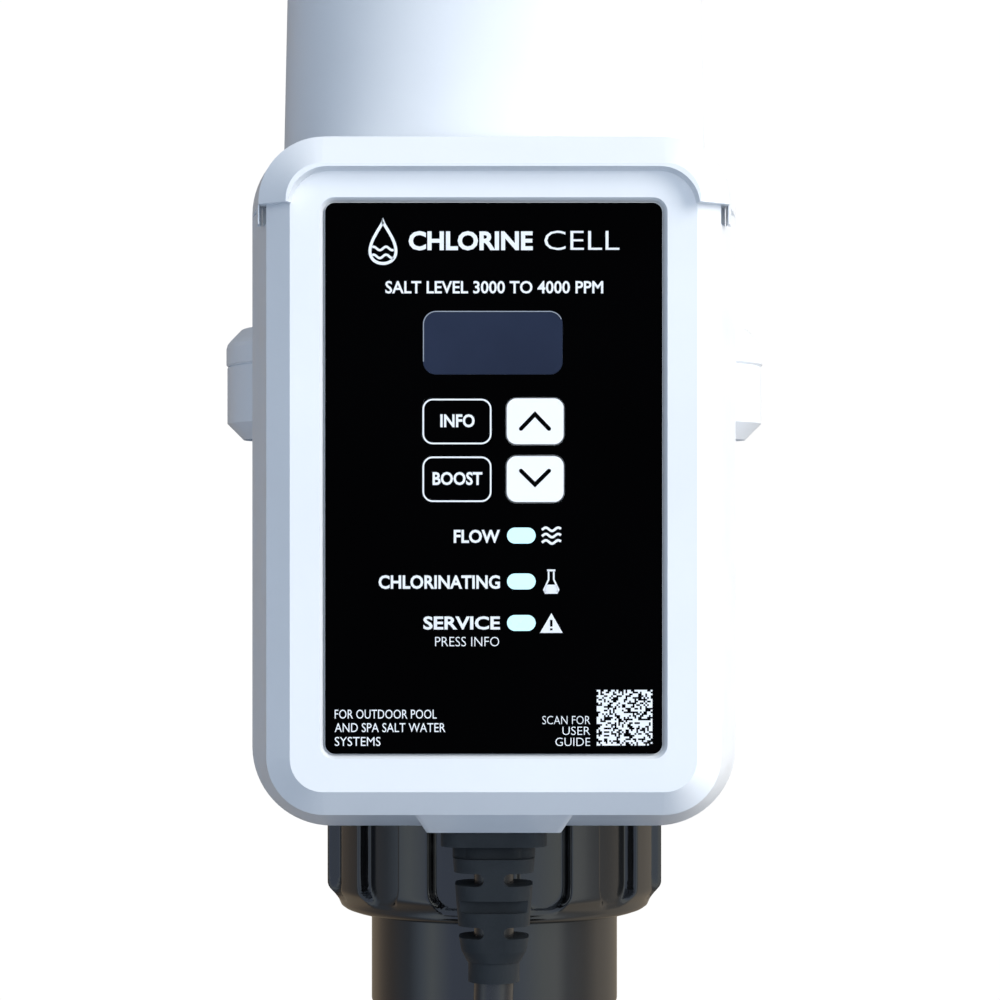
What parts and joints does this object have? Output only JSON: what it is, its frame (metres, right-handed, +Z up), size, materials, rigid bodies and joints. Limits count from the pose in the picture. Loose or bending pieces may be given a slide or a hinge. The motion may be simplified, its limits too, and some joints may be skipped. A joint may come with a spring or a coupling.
{
  "type": "salt chlorine generator",
  "caption": "Upright salt chlorine generator: a white cell tube between pipe unions, with a control box on its front, function keys and a hanging supply cable.",
  "frame": {"origin": "centre of the lower pipe socket's mouth", "axes": "+Z up along the cell from the lower union to the upper one, the control panel faces -Y, +X to the panel's right"},
  "size_m": [0.1768, 0.1845, 0.718],
  "materials": {
    "union_black": "polished",
    "seal_rubber": "smooth",
    "housing_white": "satin",
    "stainless": "brushed",
    "titanium": "coated, dull",
    "comb_plastic": "as moulded",
    "switch_plastic": "as moulded",
    "panel_black": "glossy film",
    "key_white": "glossy film",
    "window_clear": "clear",
    "lens_pale": "translucent",
    "display_grey": "glossy",
    "board_green": "lacquered",
    "part_black": "as moulded",
    "heat_sink_metal": "extruded",
    "contact_metal": "plated",
    "cable_black": "satin jacket",
    "relief_charcoal": "matt flexible",
    "plug_black": "as moulded"
  },
  "bodies": {
    "generator": {"lower_union_tail": "union_black", "upper_union_tail": "union_black", "lower_union_oring": "seal_rubber", "upper_union_oring": "seal_rubber", "body_oring": "seal_rubber", "flow_switch_seal": "seal_rubber", "terminal_seals": "seal_rubber", "box_gasket": "seal_rubber", "lower_body": "housing_white", "upper_shell": "housing_white", "box_cover": "housing_white", "box_back_shell": "housing_white", "flange_screws": "stainless", "cover_screws": "stainless", "mount_screws": "stainless", "board_screws": "stainless", "terminal_nuts": "stainless", "flow_paddle_pin": "stainless", "temperature_probe": "stainless", "electrode_plates": "titanium", "terminal_posts": "titanium", "lower_plate_comb": "comb_plastic", "upper_plate_comb": "comb_plastic", "flow_switch_body": "switch_plastic", "panel_overlay": "panel_black", "display_window": "window_clear", "status_lenses": "lens_pale", "display_module": "display_grey", "control_board": "board_green", "driver_board": "board_green", "key_switches": "part_black", "light_emitters": "lens_pale", "relays": "part_black", "capacitors": "part_black", "terminal_blocks": "part_black", "heat_sink": "heat_sink_metal", "ring_lugs": "contact_metal", "plug_pins": "contact_metal", "electrode_leads": "cable_black", "input_conductors": "cable_black", "cable_entry": "cable_black", "cable": "cable_black", "cable_tail": "cable_black", "cable_coil": "cable_black", "strain_relief": "relief_charcoal", "plug_body": "plug_black", "coil_ties": "plug_black"},
    "lower_nut": {"lower_union_nut": "union_black"},
    "upper_nut": {"upper_union_nut": "union_black"},
    "info_button": {"info_key": "panel_black"},
    "boost_button": {"boost_key": "panel_black"},
    "up_button": {"up_key": "key_white"},
    "down_button": {"down_key": "key_white"},
    "paddle": {"flow_paddle": "switch_plastic"},
    "plug_coupling": {"plug_ring": "plug_black"}
  },
  "joints": [
    {"name": "lower_nut_turn", "type": "hinge", "parent": "generator", "child": "lower_nut", "pos_m": [0, 0, 0.05], "axis": [0, 0, 1], "continuous": true},
    {"name": "upper_nut_turn", "type": "hinge", "parent": "generator", "child": "upper_nut", "pos_m": [0, 0, 0.42], "axis": [0, 0, 1], "continuous": true},
    {"name": "info_press", "type": "slide", "parent": "generator", "child": "info_button", "axis": [0, 1, 0], "range_m": [0, 0.0005], "stiffness_N_per_m": 600},
    {"name": "boost_press", "type": "slide", "parent": "generator", "child": "boost_button", "axis": [0, 1, 0], "range_m": [0, 0.0005], "stiffness_N_per_m": 600},
    {"name": "up_press", "type": "slide", "parent": "generator", "child": "up_button", "axis": [0, 1, 0], "range_m": [0, 0.0005], "stiffness_N_per_m": 600},
    {"name": "down_press", "type": "slide", "parent": "generator", "child": "down_button", "axis": [0, 1, 0], "range_m": [0, 0.0005], "stiffness_N_per_m": 600},
    {"name": "paddle_swing", "type": "hinge", "parent": "generator", "child": "paddle", "pos_m": [0, -0.044, 0.13], "axis": [1, 0, 0], "range_deg": [0, 25], "stiffness_Nm_per_rad": 0.01, "springref_deg": -17.19},
    {"name": "coupling_turn", "type": "hinge", "parent": "generator", "child": "plug_coupling", "pos_m": [-0.0792, -0.0662, -0.235], "axis": [0, 0, 1], "continuous": true}
  ]
}
